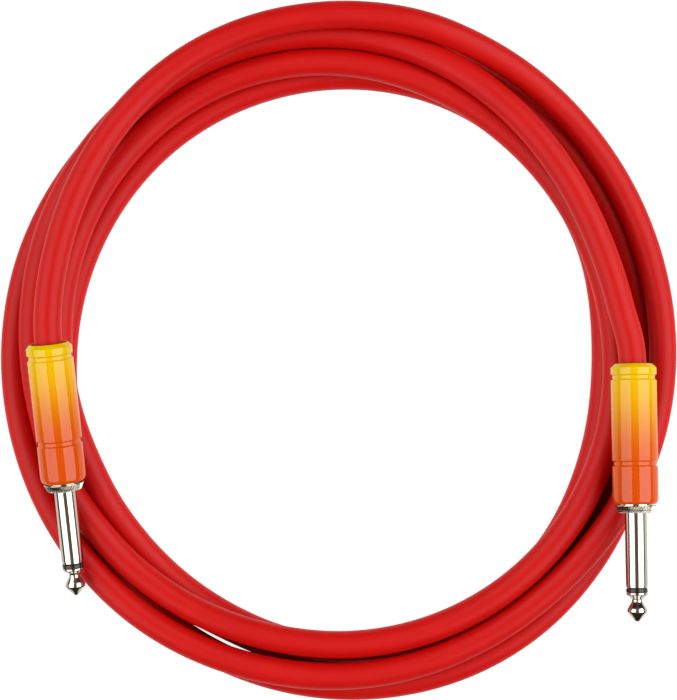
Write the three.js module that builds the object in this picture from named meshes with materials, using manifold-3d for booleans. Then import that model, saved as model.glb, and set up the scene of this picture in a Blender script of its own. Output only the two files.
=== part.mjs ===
// Coiled instrument cable: a red jacketed cord wound four and a half turns, with a straight quarter inch
// jack plug at each end. Millimetres, +Z up, origin at the middle of the coil on the surface it lies on.
import * as THREE from "three";
import { mergeVertices } from "three/addons/utils/BufferGeometryUtils.js";
import Module from "manifold-3d";

const wasm = await Module();
wasm.setup();

// ---- driving dimensions ----

const gap = 0.3; // between faces that touch on the real cable
const cordRadius = 4.05;
const cordSides = 10;
const round = 24; // flats on a turned piece

const coil = { inner: 78, outer: 103, height: 14.2, corner: 4, ovality: 0.97, flats: 72 };

// Each plug has its own axis, w, from 0 at the barrel's rear end to plugLength at the point.
const barrelLength = 40.6;
const barrelRadius = 6.65;
const mouthRadius = 4.95; // where the cord comes out
const rearWall = 3;
const cavityRadius = 5.75;
const threadRadius = 5.1;
const threadBore = threadRadius + gap;
const threadStart = 34;
const collarEnd = 43.1;
const collarRadius = 5.9;
const collarFrontRadius = 4.9;
const shaftRadius = 3.175;
const shaftEnd = 64.9;
const shaftBore = 2.2;
const ringEnd = 66.2; // the black ring between shaft and tip
const plugLength = 74.4;
const rodRadius = 1;
const linerRadius = shaftBore - gap;
const rodClearance = rodRadius + gap;
const jacketEnd = 13.3; // how far the cord's jacket reaches into the barrel
const lugThickness = 0.6;
const lugRadius = 4.6;

// How each plug lies: its rear end, the turn of its axis from -Y towards +X, and its nose-down pitch.
const plugs = [
  { side: "left", rear: [-83.5, 2, 27.2], heading: 5.5, pitch: 7.5 },
  { side: "right", rear: [85.5, -4, 21.95], heading: 0.6, pitch: -2.3 },
];

// The stretch of cord from each barrel to where it sinks among the other turns, outside the barrel.
const leads = {
  left: [
    [-83.7, 11, 28.1],
    [-82.5, 20.6, 27.8],
    [-79.5, 35.4, 25.6],
    [-74.4, 49.2, 22.6],
    [-66.9, 62.4, 18],
    [-57.1, 74.4, 9],
  ],
  right: [
    [83.6, 5.6, 21.3],
    [80.5, 17.1, 20.4],
    [76.6, 29.4, 19.8],
    [71.5, 41.3, 19.6],
    [62.5, 56.3, 19.4],
    [51.8, 68.8, 17.6],
    [41.4, 77.9, 12.5],
    [34, 83.5, 7],
  ],
};
const straightBehindBarrel = 6.5;
const stepsPerLead = { left: 12, right: 13 };

// ---- materials ----

const paint = (color, roughness, metalness) => new THREE.MeshStandardMaterial({ color, roughness, metalness });
const materials = {
  jacket: paint(0xc8201c, 0.45, 0),
  lacquer: paint(0xe88a10, 0.15, 0.2),
  nickel: paint(0xd8d6cc, 0.18, 1),
  insulator: paint(0x1c1b1a, 0.4, 0),
  fibre: paint(0x6b3a24, 0.7, 0),
  tinned: paint(0xb9b7b0, 0.35, 1),
  clear: paint(0xdfe6e8, 0.1, 0),
  dielectric: paint(0xece8dc, 0.5, 0),
  copper: paint(0xc5763f, 0.35, 1),
};

// ---- solids ----

// A closed geometry as a manifold solid, and back.
function toSolid(geometry) {
  const bare = geometry.index ? geometry.toNonIndexed() : geometry.clone();
  bare.deleteAttribute("normal");
  bare.deleteAttribute("uv");
  const merged = mergeVertices(bare, 1e-4);
  const mesh = new wasm.Mesh({
    numProp: 3,
    vertProperties: merged.attributes.position.array,
    triVerts: new Uint32Array(merged.index.array),
  });
  return new wasm.Manifold(mesh);
}

function toGeometry(solid) {
  const mesh = solid.getMesh();
  const geometry = new THREE.BufferGeometry();
  geometry.setAttribute("position", new THREE.BufferAttribute(mesh.vertProperties, 3));
  geometry.setIndex(new THREE.BufferAttribute(mesh.triVerts, 1));
  geometry.computeVertexNormals();
  return geometry;
}

const join = (geometries) =>
  toGeometry(geometries.map(toSolid).reduce((whole, piece) => whole.add(piece)));

const cut = (geometry, tool) => toGeometry(toSolid(geometry).subtract(toSolid(tool)));

// A piece turned about Z from [radius, w] points that go up the outside.
function turned(points, flats = round) {
  const profile = points.map(([radius, w]) => new THREE.Vector2(radius, w));
  return new THREE.LatheGeometry(profile, flats).rotateX(Math.PI / 2);
}

// A tube about Z: its profile closes on itself.
const pipe = (inner, outer, low, high) =>
  turned([
    [inner, low],
    [outer, low],
    [outer, high],
    [inner, high],
    [inner, low],
  ]);

// A round bar along a smooth path through [x, y, z] points.
function bar(points, radius, sides, steps) {
  const path = new THREE.CatmullRomCurve3(points.map((p) => new THREE.Vector3(...p)));
  const section = new THREE.Shape();
  for (let i = 0; i < sides; i++) {
    const angle = (2 * Math.PI * i) / sides;
    section[i ? "lineTo" : "moveTo"](radius * Math.cos(angle), radius * Math.sin(angle));
  }
  return new THREE.ExtrudeGeometry(section, { steps, bevelEnabled: false, extrudePath: path });
}

// A box from its low to its high corner.
function block(low, high) {
  const size = high.map((value, axis) => value - low[axis]);
  const middle = high.map((value, axis) => (value + low[axis]) / 2);
  return new THREE.BoxGeometry(...size).translate(...middle);
}

// ---- the coil ----

// Section of the wound turns, grown outwards by `grow`: a block with corners as round as the cord.
function coilRing(grow) {
  const { inner, outer, height, corner, flats } = coil;
  const corners = [
    [inner + corner, corner, Math.PI],
    [outer - corner, corner, 1.5 * Math.PI],
    [outer - corner, height - corner, 0],
    [inner + corner, height - corner, 0.5 * Math.PI],
  ];
  const points = [];
  for (const [radius, z, from] of corners)
    for (let i = 0; i <= 3; i++) {
      const angle = from + (i * Math.PI) / 6;
      const reach = corner + grow;
      points.push([radius + reach * Math.cos(angle), z + reach * Math.sin(angle)]);
    }
  points.push(points[0]);
  return turned(points, flats);
}

const ovalRing = (grow) => coilRing(grow).scale(coil.ovality, 1, 1);

// ---- the plug's pieces, about their own axis ----

function groundSleeve() {
  return turned([
    [shaftBore, threadStart],
    [threadRadius, threadStart],
    [threadRadius, barrelLength + gap],
    [collarRadius, barrelLength + gap],
    [collarRadius, barrelLength + 1.2],
    [collarFrontRadius, collarEnd],
    [shaftRadius, collarEnd],
    [shaftRadius, shaftEnd],
    [shaftBore, shaftEnd],
    [shaftBore, threadStart],
  ]);
}

function tipContact() {
  const rivetBack = threadStart - 3.7;
  const rivetFront = rivetBack + 0.7;
  const tipStart = ringEnd + gap / 2;
  return turned([
    [0, rivetBack],
    [1.7, rivetBack],
    [1.7, rivetFront],
    [rodRadius, rivetFront],
    [rodRadius, tipStart],
    [3.1, tipStart],
    [2.9, 67],
    [2.1, 67.5],
    [1.5, 68],
    [1.55, 68.6],
    [2.1, 69.7],
    [2.75, 70.8],
    [2.95, 71.5],
    [2.6, 72.1],
    [1.4, 73.4],
    [0.7, 74.2],
    [0, plugLength],
  ]);
}

// The black ring, and the liner behind it that keeps the rod off the sleeve.
function ringInsulator() {
  return turned([
    [rodClearance, threadStart],
    [linerRadius, threadStart],
    [linerRadius, shaftEnd + gap / 2],
    [3.1, shaftEnd + gap / 2],
    [3.1, ringEnd - gap / 2],
    [rodClearance, ringEnd - gap / 2],
    [rodClearance, threadStart],
  ]);
}

const rearWasher = () => pipe(rodClearance, 4.2, threadStart - 1.9, threadStart - 1.2);

// A ring on the rod's riveted end, and the tongue that the core is soldered to.
function tipTerminal() {
  const front = threadStart - 2.2;
  const back = front - 0.5;
  const ring = pipe(rodClearance, 3, back, front);
  const tongue = block([-1.4, 2.1, 23], [1.4, 2.6, front]);
  return join([ring, tongue]);
}

// A ring under the sleeve, the strip along the inside, and the wings that are bent round the jacket.
function cableClamp() {
  const ringBack = threadStart - gap - lugThickness;
  const ring = pipe(shaftBore, lugRadius, ringBack, threadStart - gap);
  const strip = block([-1.2, -4.7, 12], [1.2, -4.2, threadStart - gap]);
  const hoop = pipe(cordRadius + gap, 4.75, 8.5, jacketEnd - gap);
  const slot = block([-2.2, 0, 8], [2.2, 6, jacketEnd]);
  return join([ring, strip, cut(hoop, slot)]);
}

const insulatingTube = () => pipe(5.1, cavityRadius - gap, rearWall + gap, threadStart - 0.7);

function barrel() {
  const groove = (w) => [
    [barrelRadius, w],
    [barrelRadius - 0.45, w + 0.4],
    [barrelRadius - 0.45, w + 1.3],
    [barrelRadius, w + 1.7],
  ];
  return turned([
    [mouthRadius, 0],
    [5.25, 0],
    [6.2, 0.75],
    [barrelRadius, 1.4],
    ...groove(3.1),
    ...groove(28),
    [barrelRadius, barrelLength - 1.5],
    [6.5, barrelLength - 0.6],
    [6.1, barrelLength],
    [threadBore, barrelLength],
    [threadBore, threadStart],
    [cavityRadius, threadStart - 0.5],
    [cavityRadius, rearWall],
    [mouthRadius, rearWall],
    [mouthRadius, 0],
  ]);
}

const coreInsulation = () => pipe(0.5, 1.6, jacketEnd + gap, 22);

const coreConductor = () =>
  bar([[0, 0, 22.3], [0, 0.4, 23.5], [0, 1.3, 25.6], [0, 1.3, 28.6]], 0.5, 8, 8);

const shieldPigtail = () =>
  bar([[0, -2.6, jacketEnd + gap], [0, -2.9, 16], [0, -3.2, 18], [0, -3.2, 24]], 0.6, 8, 8);

const plugPieces = {
  ground_sleeve: [groundSleeve, "nickel"],
  tip_contact: [tipContact, "nickel"],
  ring_insulator: [ringInsulator, "insulator"],
  rear_washer: [rearWasher, "fibre"],
  tip_terminal: [tipTerminal, "tinned"],
  cable_clamp: [cableClamp, "tinned"],
  insulating_tube: [insulatingTube, "clear"],
  barrel: [barrel, "lacquer"],
  core_insulation: [coreInsulation, "dielectric"],
  core_conductor: [coreConductor, "copper"],
  shield_pigtail: [shieldPigtail, "copper"],
};

// ---- assembly ----

const radians = THREE.MathUtils.degToRad;

function namedMesh(name, geometry, material) {
  const mesh = new THREE.Mesh(geometry, materials[material]);
  mesh.name = name;
  return mesh;
}

// The direction in which a plug points.
function noseOf({ heading, pitch }) {
  const level = Math.cos(radians(pitch));
  return new THREE.Vector3(
    level * Math.sin(radians(heading)),
    -level * Math.cos(radians(heading)),
    -Math.sin(radians(pitch)),
  );
}

function plugAssembly(plug) {
  const nose = noseOf(plug);
  const across = new THREE.Vector3(0, 0, 1).cross(nose).normalize();
  const upwards = nose.clone().cross(across);
  const group = new THREE.Group();
  group.quaternion.setFromRotationMatrix(new THREE.Matrix4().makeBasis(across, upwards, nose));
  group.position.set(...plug.rear);
  for (const [piece, [shape, material]] of Object.entries(plugPieces))
    group.add(namedMesh(`${piece}_${plug.side}`, shape(), material));
  return group;
}

// The cord from its end inside the barrel, straight out of it, and down onto the coil.
function cordLead(plug) {
  const nose = noseOf(plug);
  const onAxis = (w) => nose.clone().multiplyScalar(w).add(new THREE.Vector3(...plug.rear)).toArray();
  const inside = [jacketEnd, jacketEnd / 2, 0, -straightBehindBarrel / 2, -straightBehindBarrel];
  const route = [...inside.map(onAxis), ...leads[plug.side]];
  const whole = bar(route, cordRadius, cordSides, stepsPerLead[plug.side]);
  return namedMesh(`cable_lead_${plug.side}`, cut(whole, ovalRing(gap)), "jacket");
}

const cable = new THREE.Group();
cable.add(namedMesh("cable_coil", ovalRing(0), "jacket"));
for (const plug of plugs) {
  cable.add(cordLead(plug));
  cable.add(plugAssembly(plug));
}

export default cable;
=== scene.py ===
"""The looks of a coiled instrument cable: four and a half turns of red cord with a jack plug at each end."""
import math

import bmesh
import bpy
import numpy as np
from mathutils import Matrix, Vector


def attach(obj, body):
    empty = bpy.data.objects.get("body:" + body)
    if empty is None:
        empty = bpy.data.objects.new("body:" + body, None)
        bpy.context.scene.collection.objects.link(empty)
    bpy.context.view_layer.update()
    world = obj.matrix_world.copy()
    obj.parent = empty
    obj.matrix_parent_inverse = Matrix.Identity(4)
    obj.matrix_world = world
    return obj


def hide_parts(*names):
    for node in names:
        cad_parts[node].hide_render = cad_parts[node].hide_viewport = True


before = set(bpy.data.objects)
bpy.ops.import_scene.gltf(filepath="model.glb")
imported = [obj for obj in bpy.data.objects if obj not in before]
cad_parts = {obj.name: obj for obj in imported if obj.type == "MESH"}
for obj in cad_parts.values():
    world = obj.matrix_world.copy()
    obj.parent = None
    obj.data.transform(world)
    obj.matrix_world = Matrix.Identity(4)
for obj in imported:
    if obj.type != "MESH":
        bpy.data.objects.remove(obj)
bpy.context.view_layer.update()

MM = 0.001

# ---------------------------------------------------------------- camera

CAMERA_HEIGHT = 740 * MM  # straight above the middle of the coil
CAMERA_LENS = 127.4  # mm

camera_data = bpy.data.cameras.new("camera")
camera_data.lens = CAMERA_LENS
camera_data.clip_start = 0.01
camera = bpy.data.objects.new("camera", camera_data)
camera.location = (0, 0, CAMERA_HEIGHT)
bpy.context.scene.collection.objects.link(camera)
bpy.context.scene.camera = camera

# ---------------------------------------------------------------- plugs: where they lie

# Lengths in mm along each plug's own axis, w, from the barrel's rear end towards the point.
BARREL_LENGTH = 40.6
BARREL_RADIUS = 6.65
JACKET_END = 13.3  # how far the cord reaches into the barrel

PLUGS = {
    "left": {"rear": (-83.5, 2, 27.2), "heading": 5.5, "pitch": 7.5},
    "right": {"rear": (85.5, -4, 21.95), "heading": 0.6, "pitch": -2.3},
}


def plug_matrix(side):
    """A plug's own axes, with Z along its nose, as a place in the row frame, in metres."""
    plug = PLUGS[side]
    heading, pitch = math.radians(plug["heading"]), math.radians(plug["pitch"])
    level = math.cos(pitch)
    nose = Vector((level * math.sin(heading), -level * math.cos(heading), -math.sin(pitch)))
    across = Vector((0, 0, 1)).cross(nose).normalized()
    turn = Matrix((across, nose.cross(across), nose)).transposed()
    return Matrix.Translation(Vector(plug["rear"]) * MM) @ turn.to_4x4()


def on_axis(side, w):
    """A point on a plug's axis, in mm."""
    return np.array(plug_matrix(side) @ Vector((0, 0, w * MM))) / MM


# ---------------------------------------------------------------- cord: its route

CORD_DIAMETER = 8.1
CONTACT = 8.16  # strands keep this far apart, middle to middle
FLOOR = CORD_DIAMETER / 2

# The coil's knots, from the left plug to the right one: clockwise angle from +Y in degrees, radius and height
# in mm.
ROUTE = [
    # first turn: over the top layer, then down outside it
    (277.5, 84.4, 28.0), (284, 85.0, 27.4), (290, 86.1, 26.4), (299, 88.0, 24.4), (308, 90.2, 22.4),
    (318, 92.6, 20.8), (328, 94.8, 20.2), (339, 96.4, 20.0), (350, 97.3, 19.8), (360, 97.6, 19.5),
    (370, 97.6, 19.4), (378, 97.6, 18.4), (386, 97.5, 15.8), (394, 97.3, 12.8), (402, 96.9, 10.6),
    (410, 96.3, 9.6), (420, 95.6, 9.8), (435, 95.2, 10.2), (450, 95.2, 10.6), (465, 95.4, 11.2),
    (482, 94.9, 11.8), (492, 94.2, 11.2), (500, 94.1, 10.5), (513, 94.8, 10.2), (526, 95.6, 10.6),
    (540, 96.2, 11.0), (560, 96.7, 11.6), (572, 97.1, 11.8), (585, 97.3, 11.2), (596, 97.2, 9.4),
    (606, 97.0, 7.0), (616, 96.7, 5.2), (628, 96.4, 4.1),
    # second turn: on the floor, outermost at the lower left, then inwards under the others
    (640, 95.8, 4), (648, 95.4, 4), (660, 94.5, 4), (672, 94.0, 4), (690, 93.3, 4), (720, 92.6, 4),
    (745, 91.4, 4), (765, 90.6, 4), (790, 90.3, 4), (805, 91.0, 4), (820, 92.4, 4), (832, 94.4, 4),
    (842, 96.5, 4), (848, 97.6, 4), (855, 98.8, 4), (861, 99.8, 4), (867, 100.5, 4), (875, 100.9, 4),
    (885, 100.9, 4), (898, 100.1, 4), (908, 99.0, 4), (920, 97.7, 4), (930, 96.3, 4), (941, 94.2, 4),
    (951, 91.0, 4), (960, 87.9, 4), (968, 84.9, 4), (974, 83.1, 4), (982, 82.2, 4),
    # third turn: innermost, on the floor, and over its own start at the end
    (993, 81.4, 4), (1008, 80.7, 4), (1020, 80.4, 4), (1040, 80.6, 4), (1060, 80.9, 4), (1080, 81.6, 4),
    (1090, 82.0, 4), (1100, 82.3, 4), (1110, 82.5, 4), (1120, 82.1, 4), (1130, 81.6, 4),
    (1148, 81.0, 4), (1160, 79.6, 4), (1169, 79.1, 4), (1178, 79.5, 4), (1188, 81.0, 4),
    (1197, 82.5, 4), (1205, 84.4, 4), (1212, 86.0, 4), (1220, 87.4, 4), (1235, 88.5, 4),
    (1255, 88.9, 4), (1264, 88.8, 4), (1269, 88.1, 4), (1274, 87.1, 4), (1280, 86.1, 4),
    (1290, 84.7, 4), (1300, 83.4, 4.3), (1312, 82.2, 6.4), (1327, 81.2, 10.4), (1342, 81.5, 11.8),
    # fourth turn: the middle strand of the upper layer
    (1350, 82.2, 11.8), (1360, 82.9, 11.6), (1372, 84.0, 11.2), (1384, 85.1, 10.6), (1398, 85.9, 10.0),
    (1415, 86.0, 9.8), (1430, 85.3, 10.6), (1440, 84.7, 11.2), (1452, 83.6, 11.6), (1468, 81.9, 11.8),
    (1480, 81.0, 11.8), (1502, 80.4, 11.8), (1515, 80.4, 11.3), (1528, 81.1, 11.3), (1550, 83.4, 11.8),
    (1565, 84.8, 11.8), (1580, 85.8, 11.8), (1595, 86.4, 11.8), (1620, 86.8, 11.8), (1635, 86.6, 11.8),
    (1652, 87.5, 11.4), (1670, 88.2, 10.6), (1694, 89.1, 9.4), (1710, 90.2, 9.6),
    # last half turn: the outer strand of the upper layer, then over the fourth turn to the right plug
    (1718, 90.8, 10.4), (1728, 91.7, 11.0), (1740, 92.6, 11.6), (1753, 93.3, 11.8), (1770, 93.9, 11.8),
    (1782, 93.8, 11.8), (1792, 93.3, 12.4), (1800, 92.8, 13.2), (1810, 91.8, 14.2), (1818, 90.2, 15.8),
    (1824, 88.7, 17.0), (1830, 87.4, 17.8), (1837, 85.9, 18.6), (1850, 83.4, 19.6), (1860, 82.3, 19.9),
    (1869, 81.8, 20.3), (1876, 82.1, 20.9), (1882, 82.9, 21.4),
]
ROUTE_STEP = 1.5  # degrees
STEPS_PER_TURN = int(360 / ROUTE_STEP)
MOST_LAPS = 4  # no two strands at one angle are more turns apart than this along the cord
ROUTE_SMOOTHING = 14
SETTLE_ROUNDS = 300
FINAL_ROUNDS = 20  # these only push apart
PULL = 0.05  # how strongly each round pulls the strands back to the route
LINE_STEP = 2  # mm between the points of the whole centreline
LINE_SMOOTHING = 6
LEFT_LEAD = (JACKET_END, 6, 0, -4)  # the places w where the cord is on the left plug's axis
RIGHT_LEAD = ((-6, -0.35), (0, -0.25), (6, 0), (JACKET_END, 0))  # w, and X from the right plug's axis


def smooth(values, rounds):
    """Rounds off a row of values and keeps its ends."""
    for _ in range(rounds):
        values[1:-1] = 0.25 * values[:-2] + 0.5 * values[1:-1] + 0.25 * values[2:]
    return values


def push_apart(radius, height, lag):
    """Moves apart strands that lie `lag` steps from each other along the cord, so at the same angle."""
    across, up = radius[lag:] - radius[:-lag], height[lag:] - height[:-lag]
    apart = np.maximum(np.hypot(across, up), 1e-6)
    push = 0.5 * np.maximum(CONTACT - apart, 0) / apart
    radius[lag:] += push * across
    radius[:-lag] -= push * across
    height[lag:] += push * up
    height[:-lag] -= push * up


def push_turns_apart(radius, height):
    """Pushes apart every two strands that lie at the same angle."""
    for laps in range(1, MOST_LAPS + 1):
        push_apart(radius, height, laps * STEPS_PER_TURN)


def settled_route():
    """The strands' middles in mm: the route, with its turns laid on and beside each other and not cutting."""
    angles, radii, heights = np.array(ROUTE).T
    angle = np.arange(angles[0], angles[-1] + ROUTE_STEP / 2, ROUTE_STEP)
    route_radius = smooth(np.interp(angle, angles, radii), ROUTE_SMOOTHING)
    route_height = smooth(np.interp(angle, angles, heights), ROUTE_SMOOTHING)
    radius, height = route_radius.copy(), route_height.copy()
    for _ in range(SETTLE_ROUNDS):
        radius += PULL * (route_radius - radius)
        height += PULL * (route_height - height)
        push_turns_apart(radius, height)
        smooth(radius, 1)
        smooth(height, 1)
        np.maximum(height, FLOOR, out=height)
    for _ in range(FINAL_ROUNDS):
        push_turns_apart(radius, height)
        np.maximum(height, FLOOR, out=height)
    turn = np.radians(angle)
    return np.stack([radius * np.sin(turn), radius * np.cos(turn), height], 1)


def spaced_along(points, step):
    """Points about `step` mm apart on straight lines from point to point."""
    points = np.array(points)
    along = np.concatenate([[0], np.cumsum(np.linalg.norm(np.diff(points, axis=0), axis=1))])
    even = np.linspace(0, along[-1], max(2, int(along[-1] / step)))
    return np.stack([np.interp(even, along, column) for column in points.T], 1)


def cord_line():
    """The whole centreline in mm, from inside the left barrel to inside the right one."""
    start = [on_axis("left", w) for w in LEFT_LEAD]
    end = [on_axis("right", w) + (lean, 0, 0) for w, lean in RIGHT_LEAD]
    line = spaced_along([*start, *settled_route(), *end], LINE_STEP)
    for column in line.T:
        smooth(column, LINE_SMOOTHING)
    return line


def make_cord():
    """The cord as a round tube along its centreline."""
    line = cord_line()
    curve = bpy.data.curves.new("cord", "CURVE")
    curve.dimensions = "3D"
    curve.twist_mode = "Z_UP"
    curve.bevel_depth = CORD_DIAMETER / 2 * MM
    curve.bevel_resolution = 10
    curve.use_fill_caps = True
    spline = curve.splines.new("POLY")
    spline.points.add(len(line) - 1)
    spline.points.foreach_set("co", np.c_[line * MM, np.ones(len(line))].ravel())
    spline.use_smooth = True
    made = bpy.data.objects.new("cord", curve)
    bpy.context.scene.collection.objects.link(made)
    return made


cord = make_cord()

# ---------------------------------------------------------------- mesh tools

ROUNDING_STEPS = 4
LONGEST_ROUNDING = 0.48  # the part of an outline's side that one end's rounding may take
SHARP_ANGLE = math.radians(35)
MERGE_DISTANCE = 0.0005  # mm


def rounded(corners, closed):
    """A profile of (radius, w, rounding) corners in mm as (radius, w) points, each corner rounded off."""
    points = []
    count = len(corners)
    for i, (radius, w, rounding) in enumerate(corners):
        corner = np.array((radius, w))
        if not rounding or (not closed and i in (0, count - 1)):
            points.append(corner)
            continue
        sides = [np.array(corners[j % count][:2]) - corner for j in (i - 1, i + 1)]
        lengths = [np.linalg.norm(side) for side in sides]
        reaches = [min(rounding, LONGEST_ROUNDING * length) for length in lengths]
        before, after = (side / length * reach for side, length, reach in zip(sides, lengths, reaches))
        for t in np.linspace(0, 1, ROUNDING_STEPS + 1):
            points.append(corner + (1 - t) ** 2 * before + t**2 * after)
    return np.array(points)


def finished(name, bm, side, body, material):
    """A mesh in a plug's own axes, in mm, as a piece that rides on a body and has a material."""
    bmesh.ops.remove_doubles(bm, verts=bm.verts, dist=MERGE_DISTANCE)
    bmesh.ops.recalc_face_normals(bm, faces=bm.faces)
    bmesh.ops.scale(bm, vec=(MM, MM, MM), verts=bm.verts)
    mesh = bpy.data.meshes.new(name)
    bm.to_mesh(mesh)
    bm.free()
    mesh.polygons.foreach_set("use_smooth", [True] * len(mesh.polygons))
    mesh.set_sharp_from_angle(angle=SHARP_ANGLE)
    mesh.materials.append(material)
    piece = bpy.data.objects.new(name, mesh)
    bpy.context.scene.collection.objects.link(piece)
    piece.modifiers.new("even shading", "WEIGHTED_NORMAL").keep_sharp = True
    piece.matrix_world = plug_matrix(side)
    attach(piece, body)
    return piece


def turned(corners, around=96, closed=True, shape=None):
    """A bmesh turned about Z from (radius, w, rounding) corners. shape(angle, w, radius) sets radii."""
    profile = rounded(corners, closed)
    angle = np.arange(around) * 2 * math.pi / around
    radius = np.repeat(profile[:, :1], around, 1)
    w = np.repeat(profile[:, 1:], around, 1)
    if shape:
        radius = shape(angle[None], w, radius)
    bm = bmesh.new()
    rows = [
        [bm.verts.new((r * math.cos(a), r * math.sin(a), z)) for a, r, z in zip(angle, rs, zs)]
        for rs, zs in zip(radius, w)
    ]
    pairs = zip(rows, rows[1:] + rows[:1]) if closed else zip(rows, rows[1:])
    for low, high in pairs:
        for i in range(around):
            j = (i + 1) % around
            bm.faces.new((low[i], low[j], high[j], high[i]))
    return bm


# ---------------------------------------------------------------- materials

def surface(name, **inputs):
    """A Principled material with these inputs, and its nodes, links and shader to build on."""
    made = bpy.data.materials.new(name)
    made.use_nodes = True
    nodes, links = made.node_tree.nodes, made.node_tree.links
    shader = nodes["Principled BSDF"]
    for key, value in inputs.items():
        shader.inputs[key.replace("_", " ")].default_value = value
    return made, nodes, links, shader


def colour(red, green, blue):
    return (red, green, blue, 1)


def darkened(shade, part):
    """A colour with only this part of its light."""
    return colour(*(part * channel for channel in shade[:3]))


def fill_ramp(ramp, stops):
    """Gives a colour ramp its (position, colour) stops, from its start to its end."""
    elements = ramp.color_ramp.elements
    for element, (position, shade) in zip(elements, (stops[0], stops[-1])):
        element.position = position
        element.color = shade
    for position, shade in stops[1:-1]:
        elements.new(position).color = shade


def noise(nodes, links, scale, detail=3, stretch=(1, 1, 1)):
    """The output of a noise pattern, `scale` cells to the metre, in the piece's own coordinates."""
    place = nodes.new("ShaderNodeTexCoord").outputs["Object"]
    if stretch != (1, 1, 1):
        mapping = nodes.new("ShaderNodeMapping")
        mapping.inputs["Scale"].default_value = stretch
        links.new(place, mapping.inputs["Vector"])
        place = mapping.outputs["Vector"]
    texture = nodes.new("ShaderNodeTexNoise")
    texture.inputs["Scale"].default_value = scale
    texture.inputs["Detail"].default_value = detail
    links.new(place, texture.inputs["Vector"])
    return texture.outputs["Fac"]


def spread(nodes, links, value, low, high):
    """A 0 to 1 value, of which noise uses the middle, as one from low to high."""
    mapped = nodes.new("ShaderNodeMapRange")
    mapped.inputs["From Min"].default_value = 0.3
    mapped.inputs["From Max"].default_value = 0.7
    mapped.inputs["To Min"].default_value = low
    mapped.inputs["To Max"].default_value = high
    links.new(value, mapped.inputs["Value"])
    return mapped.outputs["Result"]


def mixed(nodes, links, factor, first, second):
    """A colour between two others, as far along as the factor says."""
    mix = nodes.new("ShaderNodeMix")
    mix.data_type = "RGBA"
    links.new(factor, mix.inputs["Factor"])
    mix.inputs["A"].default_value = first
    mix.inputs["B"].default_value = second
    return mix.outputs["Result"]


def bumped(nodes, links, shader, height, strength, depth):
    """Raises the surface by a height pattern. depth is in metres."""
    bump = nodes.new("ShaderNodeBump")
    bump.inputs["Strength"].default_value = strength
    bump.inputs["Distance"].default_value = depth
    links.new(height, bump.inputs["Height"])
    links.new(bump.outputs["Normal"], shader.inputs["Normal"])


def jacket_material():
    """Satin red PVC: cloudy at a large scale, finely grained up close."""
    made, nodes, links, shader = surface(
        "red jacket",
        Specular_IOR_Level=0.2,
        Subsurface_Weight=0.4,
        Subsurface_Radius=(1, 0.05, 0.05),
        Subsurface_Scale=0.0025,
    )
    clouds = spread(nodes, links, noise(nodes, links, 45), 0, 1)
    base = mixed(nodes, links, clouds, colour(0.46, 0.002, 0.0015), colour(0.49, 0.003, 0.002))
    links.new(base, shader.inputs["Base Color"])
    grain = noise(nodes, links, 2200, 4)
    links.new(spread(nodes, links, grain, 0.38, 0.48), shader.inputs["Roughness"])
    bumped(nodes, links, shader, grain, 0.25, 0.00003)
    return made


LACQUER_STOPS = (
    (0, colour(0.63, 0.430, 0.0)),
    (0.13, colour(0.67, 0.387, 0.0)),
    (0.26, colour(0.65, 0.310, 0.0)),
    (0.38, colour(0.62, 0.215, 0.0)),
    (0.5, colour(0.58, 0.129, 0.0)),
    (0.62, colour(0.56, 0.077, 0.0)),
    (0.78, colour(0.54, 0.060, 0.0)),
    (1, colour(0.54, 0.057, 0.0)),
)


def lacquer_material():
    """Clear coat over colour that runs along the barrel, from yellow at the rear to red-orange in front."""
    made, nodes, links, shader = surface(
        "sunburst lacquer", Specular_IOR_Level=0, Coat_Weight=1, Coat_Roughness=0.01, Coat_IOR=1.45
    )
    place = nodes.new("ShaderNodeSeparateXYZ")
    links.new(nodes.new("ShaderNodeTexCoord").outputs["Object"], place.inputs["Vector"])
    along = nodes.new("ShaderNodeMapRange")
    along.inputs["From Max"].default_value = BARREL_LENGTH * MM
    links.new(place.outputs["Z"], along.inputs["Value"])
    drift = nodes.new("ShaderNodeMath")
    drift.operation = "ADD"
    links.new(along.outputs["Result"], drift.inputs[0])
    links.new(spread(nodes, links, noise(nodes, links, 120), -0.012, 0.012), drift.inputs[1])
    ramp = nodes.new("ShaderNodeValToRGB")
    ramp.color_ramp.interpolation = "B_SPLINE"
    fill_ramp(ramp, LACQUER_STOPS)
    links.new(drift.outputs["Value"], ramp.inputs["Fac"])
    links.new(ramp.outputs["Color"], shader.inputs["Base Color"])
    return made


RING_PATCHES = 60  # to the metre, across the axis: far fewer than there are lines along it


def metal_material(name, tint, roughness, lines):
    """Plated, turned metal: fine lines run round it, `lines` to the metre along its axis."""
    made, nodes, links, shader = surface(name, Metallic=1, Roughness=roughness)
    base = mixed(nodes, links, noise(nodes, links, 300), tint, darkened(tint, 0.94))
    links.new(base, shader.inputs["Base Color"])
    rings = noise(nodes, links, 1, 4, stretch=(RING_PATCHES, RING_PATCHES, lines))
    links.new(spread(nodes, links, rings, 0.7 * roughness, 1.4 * roughness), shader.inputs["Roughness"])
    bumped(nodes, links, shader, rings, 0.08, 0.00001)
    return made


def plastic_material(name, shade, roughness, scale):
    """Moulded plastic or fibre: a fine grain in its colour, gloss and surface."""
    made, nodes, links, shader = surface(name, Roughness=roughness)
    grain = noise(nodes, links, scale, 4)
    base = mixed(nodes, links, grain, shade, darkened(shade, 0.75))
    links.new(base, shader.inputs["Base Color"])
    links.new(spread(nodes, links, grain, 0.85 * roughness, 1.2 * roughness), shader.inputs["Roughness"])
    bumped(nodes, links, shader, grain, 0.1, 0.00002)
    return made


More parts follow.
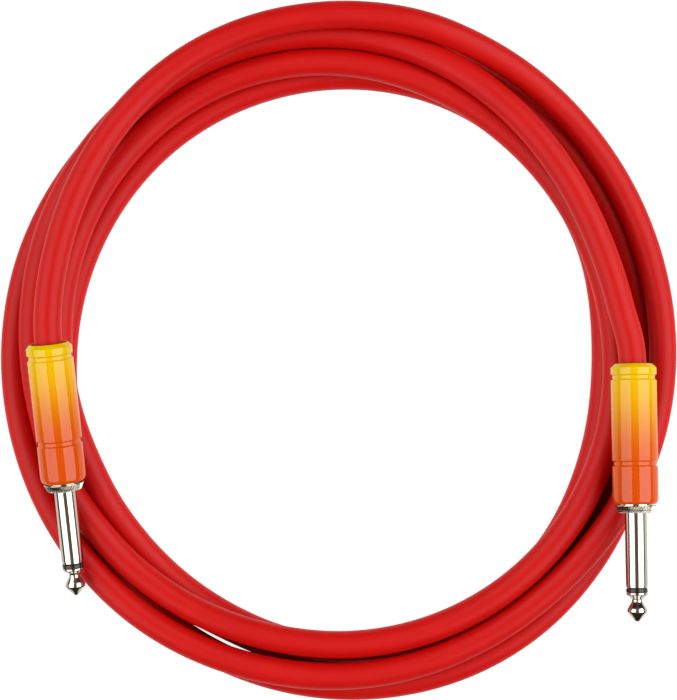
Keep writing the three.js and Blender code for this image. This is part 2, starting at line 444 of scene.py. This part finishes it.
JACKET = jacket_material()
LACQUER = lacquer_material()
NICKEL = metal_material("nickel plate", colour(0.6, 0.565, 0.49), 0.09, 9000)
KNURLED = metal_material("knurled nickel", colour(0.62, 0.59, 0.52), 0.14, 9000)
TINNED = metal_material("tinned sheet", colour(0.66, 0.65, 0.62), 0.3, 4000)
COPPER = metal_material("stranded copper", colour(0.72, 0.33, 0.17), 0.25, 6000)
INSULATOR = plastic_material("black plastic", colour(0.012, 0.011, 0.01), 0.22, 900)
FIBRE = plastic_material("brown fibre", colour(0.17, 0.06, 0.025), 0.6, 2500)
DIELECTRIC = plastic_material("white polyethylene", colour(0.78, 0.74, 0.65), 0.45, 1200)
CLEAR = plastic_material("clear tube", colour(0.8, 0.83, 0.85), 0.15, 600)

cord.data.materials.append(JACKET)
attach(cord, "cable")
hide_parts("cable_coil", "cable_lead_left", "cable_lead_right")

# ---------------------------------------------------------------- the plugs' pieces

GROOVE_STARTS = (3.1, 28)
GROOVE_WIDTH = 1.7
GROOVE_SLOPE = 0.35  # how long each of a groove's sides is along the axis
GROOVE_DEPTH = 0.48
MOUTH_RADIUS = 4.95
REAR_WALL = 3
CAVITY_RADIUS = 5.75
THREAD_START = 34
THREAD_PITCH = 0.75
THREAD_ROOT = 4.95
THREAD_CREST = 5.28
THREAD_PLAY = 0.12
THREAD_BARE_START, THREAD_RISE = 0.2, 0.5  # lengths without a ridge, and over which it grows
THREAD_BARE_END, THREAD_FALL = 0.5, 0.4
COLLAR_START = 40.9
RIM_END = 41.1
COLLAR_END = 43.1
COLLAR_RADIUS = 5.9
COLLAR_FRONT_RADIUS = 4.9
KNURLS = 38
KNURL_DEPTH = 0.42
KNURL_SLANT = 1.6  # pitches that each groove shifts by on its way down the cone
KNURL_FADES = (0.05, 0.08)  # the parts of the cone over which the grooves start and end
CONE_ROWS = 28
SHAFT_RADIUS = 3.175
SHAFT_BORE = 2.2
SHAFT_END = 64.9
RING_END = 66.05
RING_RADIUS = 3.12
LINER_RADIUS = 1.9
ROD_RADIUS = 1
PLUG_LENGTH = 74.4


def thread(angle, w, radius):
    """Cuts a right-hand thread, with a bare start and end, into the stretch that has its crest radius."""
    turn = (w / THREAD_PITCH - angle / (2 * math.pi)) % 1
    ridge = np.clip(1.5 - 1.5 * np.abs(4 * turn - 2), 0, 1)  # half of the pitch is root
    start = np.clip((w - THREAD_START - THREAD_BARE_START) / THREAD_RISE, 0, 1)
    end = np.clip((COLLAR_START - THREAD_BARE_END - w) / THREAD_FALL, 0, 1)
    threaded = np.abs(radius - THREAD_CREST) < 0.01
    return np.where(threaded, THREAD_ROOT + (THREAD_CREST - THREAD_ROOT) * ridge * start * end, radius)


def knurl(angle, w, radius):
    """Presses slanting grooves into the collar's cone."""
    along = (w - RIM_END) / (COLLAR_END - RIM_END)
    wave = 0.5 + 0.5 * np.cos(KNURLS * angle - 2 * math.pi * KNURL_SLANT * along)
    fade = np.clip(along / KNURL_FADES[0], 0, 1) * np.clip((1 - along) / KNURL_FADES[1], 0, 1)
    on_cone = (radius > COLLAR_FRONT_RADIUS - 0.05) & (w > RIM_END) & (w < COLLAR_END)
    return np.where(on_cone, radius - KNURL_DEPTH * fade * wave**1.5, radius)


def make_sleeve(side):
    """Collar and shaft, in one turned piece with the thread that the barrel screws onto."""
    screw = [(THREAD_CREST, w, 0) for w in np.arange(THREAD_START, COLLAR_START + 0.01, THREAD_PITCH / 12)]
    narrowing, cone_length = COLLAR_RADIUS - COLLAR_FRONT_RADIUS, COLLAR_END - RIM_END
    cone = [
        (COLLAR_RADIUS - narrowing * t, RIM_END + cone_length * t, 0)
        for t in np.linspace(0.02, 0.98, CONE_ROWS)
    ]
    corners = [
        (SHAFT_BORE, THREAD_START, 0),
        *screw,
        (COLLAR_RADIUS, COLLAR_START, 0.15),
        (COLLAR_RADIUS, RIM_END, 0.05),
        *cone,
        (COLLAR_FRONT_RADIUS, COLLAR_END, 0.12),
        (SHAFT_RADIUS + 0.25, COLLAR_END, 0),
        (SHAFT_RADIUS, COLLAR_END - 0.1, 0),
        (SHAFT_RADIUS, SHAFT_END - 0.95, 0.03),
        (SHAFT_RADIUS - 0.07, SHAFT_END - 0.88, 0.03),
        (SHAFT_RADIUS - 0.07, SHAFT_END - 0.3, 0.12),
        (SHAFT_RADIUS - 0.3, SHAFT_END, 0.08),
        (SHAFT_BORE, SHAFT_END, 0),
    ]
    bm = turned(corners, around=KNURLS * 8, shape=lambda a, w, r: knurl(a, w, thread(a, w, r)))
    piece = finished(f"{side}_sleeve", bm, side, "cable", NICKEL)
    piece.data.materials.append(KNURLED)
    for face in piece.data.polygons:
        x, y, w = face.center / MM
        if RIM_END < w < COLLAR_END and math.hypot(x, y) > SHAFT_RADIUS + 1:
            face.material_index = 1
    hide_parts(f"ground_sleeve_{side}")


def make_tip(side):
    """The tip, with its rod through the shaft to a riveted rear end."""
    rivet = THREAD_START - 3.7
    bm = turned(
        [
            (0, rivet, 0),
            (1.2, rivet, 0),
            (1.7, rivet + 0.35, 0.2),
            (1.7, rivet + 0.7, 0.1),
            (ROD_RADIUS, rivet + 0.7, 0),
            (ROD_RADIUS, RING_END + 0.1, 0),
            (3.08, RING_END + 0.1, 0.1),
            (3.08, 66.75, 0.2),
            (2.3, 67.35, 0.4),
            (1.55, 67.9, 0.5),
            (1.48, 68.55, 0.6),
            (1.95, 69.4, 0.8),
            (2.75, 70.6, 1.0),
            (2.98, 71.45, 0.35),
            (2.7, 72.05, 0.3),
            (1.45, 73.35, 0.4),
            (0.72, 74.15, 0.3),
            (0.5, PLUG_LENGTH, 0.2),
            (0, PLUG_LENGTH, 0),
        ],
        closed=False,
    )
    piece = finished(f"{side}_tip", bm, side, "cable", NICKEL)
    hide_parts(f"tip_contact_{side}")


def make_ring(side):
    """The black ring between shaft and tip, with its liner inside the shaft."""
    bm = turned(
        [
            (ROD_RADIUS + 0.3, THREAD_START, 0),
            (LINER_RADIUS, THREAD_START, 0),
            (LINER_RADIUS, SHAFT_END + 0.05, 0),
            (RING_RADIUS, SHAFT_END + 0.05, 0.1),
            (RING_RADIUS, RING_END, 0.1),
            (ROD_RADIUS + 0.3, RING_END, 0),
        ]
    )
    piece = finished(f"{side}_ring", bm, side, "cable", INSULATOR)
    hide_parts(f"ring_insulator_{side}")


def make_barrel(side):
    """The lacquered barrel: two turned grooves, a mouth for the cord, and a bore for the thread."""
    def groove(w):
        floor_radius = BARREL_RADIUS - GROOVE_DEPTH
        return [
            (BARREL_RADIUS, w, 0.1),
            (floor_radius, w + GROOVE_SLOPE, 0.15),
            (floor_radius, w + GROOVE_WIDTH - GROOVE_SLOPE, 0.15),
            (BARREL_RADIUS, w + GROOVE_WIDTH, 0.1),
        ]

    bm = turned(
        [
            (MOUTH_RADIUS, 0, 0.15),
            (5.6, 0, 0.12),
            (BARREL_RADIUS, 1.15, 0.15),
            *groove(GROOVE_STARTS[0]),
            *groove(GROOVE_STARTS[1]),
            (BARREL_RADIUS, BARREL_LENGTH - 1.6, 0.8),
            (6.4, BARREL_LENGTH - 0.5, 0.5),
            (5.85, BARREL_LENGTH, 0.25),
            (THREAD_CREST + THREAD_PLAY, BARREL_LENGTH, 0.1),
            (THREAD_CREST + THREAD_PLAY, THREAD_START, 0),
            (CAVITY_RADIUS, THREAD_START - 0.5, 0),
            (CAVITY_RADIUS, REAR_WALL, 0.1),
            (MOUTH_RADIUS, REAR_WALL, 0.1),
        ],
        around=128,
    )
    piece = finished(f"{side}_barrel", bm, side, f"barrel_{side}", LACQUER)
    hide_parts(f"barrel_{side}")


KEPT_NODES = {
    "rear_washer": FIBRE,
    "tip_terminal": TINNED,
    "cable_clamp": TINNED,
    "insulating_tube": CLEAR,
    "core_insulation": DIELECTRIC,
    "core_conductor": COPPER,
    "shield_pigtail": COPPER,
}


def dress_kept_pieces(side):
    """Gives the CAD pieces that are seen as they are their materials."""
    for node, material in KEPT_NODES.items():
        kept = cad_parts[f"{node}_{side}"]
        kept.data.materials.clear()
        kept.data.materials.append(material)


for side in PLUGS:
    make_sleeve(side)
    make_tip(side)
    make_ring(side)
    make_barrel(side)
    dress_kept_pieces(side)

# ---------------------------------------------------------------- floor, light

FLOOR_SIZE = 6  # metres
FLOOR_GLOW = 0.86  # the floor is a light table, so the object casts no hard shadow on it
SHADE_RING_INNER, SHADE_RING_OUTER = 86, 97  # mm: a dark red ring under the coil hides the floor's glow and paints the shade seen between the strands
SHADE_RING_HEIGHT = 0.03  # mm
SLIT_START, SLIT_END = 195, 211  # degrees: the shade ring's one slit, where the floor shows
SLIT_RADII = (94.1, 92.7)  # mm: its middle at its start and at its end
SLIT_WIDTH = 1.0  # mm
SOFTBOXES = {"softbox_left": (-1, 2.5), "softbox_right": (1, 3.1)}  # side of the camera, radiance
SOFTBOX_DISTANCE = 1.0  # metres, as are the next two sizes
SOFTBOX_WIDTH = 1.08
SOFTBOX_LENGTH = 1.7
SOFTBOX_TILT = math.radians(47)  # from straight above
BELOW = colour(0.95, 0.92, 0.86)
AROUND = colour(0.035, 0.032, 0.026)
OVERHEAD = colour(0.15, 0.13, 0.105)
SKY_STOPS = ((0.44, BELOW), (0.52, AROUND), (0.89, AROUND), (0.965, OVERHEAD))  # 0 is down, 1 straight up
SKY_DIP = 0.45  # how much lower the dark part reaches in front of the plugs and behind them


def stage_piece(name, points, faces, material):
    """A mesh that belongs to the stage and not to the object."""
    mesh = bpy.data.meshes.new(name)
    mesh.from_pydata(points, [], faces)
    mesh.materials.append(material)
    piece = bpy.data.objects.new(name, mesh)
    bpy.context.scene.collection.objects.link(piece)
    return piece


def make_floor():
    """A pale floor that glows a little less than white."""
    half = FLOOR_SIZE / 2
    material = surface(
        "pale lit floor",
        Base_Color=colour(0.22, 0.22, 0.22),
        Roughness=0.8,
        Emission_Color=colour(1, 1, 1),
        Emission_Strength=FLOOR_GLOW,
    )[0]
    corners = [(-half, -half, 0), (half, -half, 0), (half, half, 0), (-half, half, 0)]
    floor = stage_piece("floor", corners, [(0, 1, 2, 3)], material)
    floor.visible_glossy = False  # the gloss shows the sky's lower half in its place


def make_shade_ring():
    """A dark red flat ring under the coil, painted shade for the gaps between the strands, in two parts side
    by side that come away from each other at the slit.
    """
    points = []  # four on each degree's line from the middle
    for degrees in range(360):
        along = (degrees - SLIT_START) / (SLIT_END - SLIT_START)
        along = min(max(along, 0), 1)
        middle = SLIT_RADII[0] + (SLIT_RADII[1] - SLIT_RADII[0]) * along
        opening = SLIT_WIDTH / 2 * math.sin(math.pi * along)
        turn = math.radians(degrees)
        for radius in (SHADE_RING_INNER, middle - opening, middle + opening, SHADE_RING_OUTER):
            points.append((radius * math.sin(turn) * MM, radius * math.cos(turn) * MM, SHADE_RING_HEIGHT * MM))
    count = len(points)
    faces = [
        (i, i + 1, (i + 5) % count, (i + 4) % count)
        for i in range(0, count, 2)
    ]
    # dark red: painted shade, the look of the deep gaps between the strands
    material = surface("painted shade ring", Base_Color=colour(0.3, 0.001, 0.001), Roughness=0.9)[0]
    stage_piece("painted_shade_ring", points, faces, material)


def make_softbox(name, side, radiance):
    """A rectangular light beside the camera that faces the coil."""
    light_data = bpy.data.lights.new(name, "AREA")
    light_data.shape = "RECTANGLE"
    light_data.size = SOFTBOX_WIDTH
    light_data.size_y = SOFTBOX_LENGTH
    light_data.energy = radiance * math.pi * SOFTBOX_WIDTH * SOFTBOX_LENGTH
    light = bpy.data.objects.new(name, light_data)
    tilt = side * SOFTBOX_TILT
    light.location = (SOFTBOX_DISTANCE * math.sin(tilt), 0, SOFTBOX_DISTANCE * math.cos(tilt))
    light.rotation_euler = (0, tilt, 0)
    light.visible_camera = False
    bpy.context.scene.collection.objects.link(light)


def make_sky():
    """Light below, dark around and dim overhead, as the gloss shows it."""
    world = bpy.data.worlds.new("studio")
    bpy.context.scene.world = world
    world.use_nodes = True
    nodes, links = world.node_tree.nodes, world.node_tree.links
    direction = nodes.new("ShaderNodeSeparateXYZ")
    links.new(nodes.new("ShaderNodeTexCoord").outputs["Generated"], direction.inputs["Vector"])
    along_plugs = nodes.new("ShaderNodeMath")
    along_plugs.operation = "ABSOLUTE"
    links.new(direction.outputs["Y"], along_plugs.inputs[0])
    level = nodes.new("ShaderNodeMath")
    level.operation = "MULTIPLY_ADD"
    level.inputs[1].default_value = SKY_DIP
    links.new(along_plugs.outputs["Value"], level.inputs[0])
    links.new(direction.outputs["Z"], level.inputs[2])
    height = nodes.new("ShaderNodeMapRange")
    height.inputs["From Min"].default_value = -1
    links.new(level.outputs["Value"], height.inputs["Value"])
    ramp = nodes.new("ShaderNodeValToRGB")
    fill_ramp(ramp, SKY_STOPS)
    links.new(height.outputs["Result"], ramp.inputs["Fac"])
    links.new(ramp.outputs["Color"], nodes["Background"].inputs["Color"])


make_floor()
make_shade_ring()
for name, (side, radiance) in SOFTBOXES.items():
    make_softbox(name, side, radiance)
make_sky()

bpy.context.scene.view_settings.view_transform = "Standard"
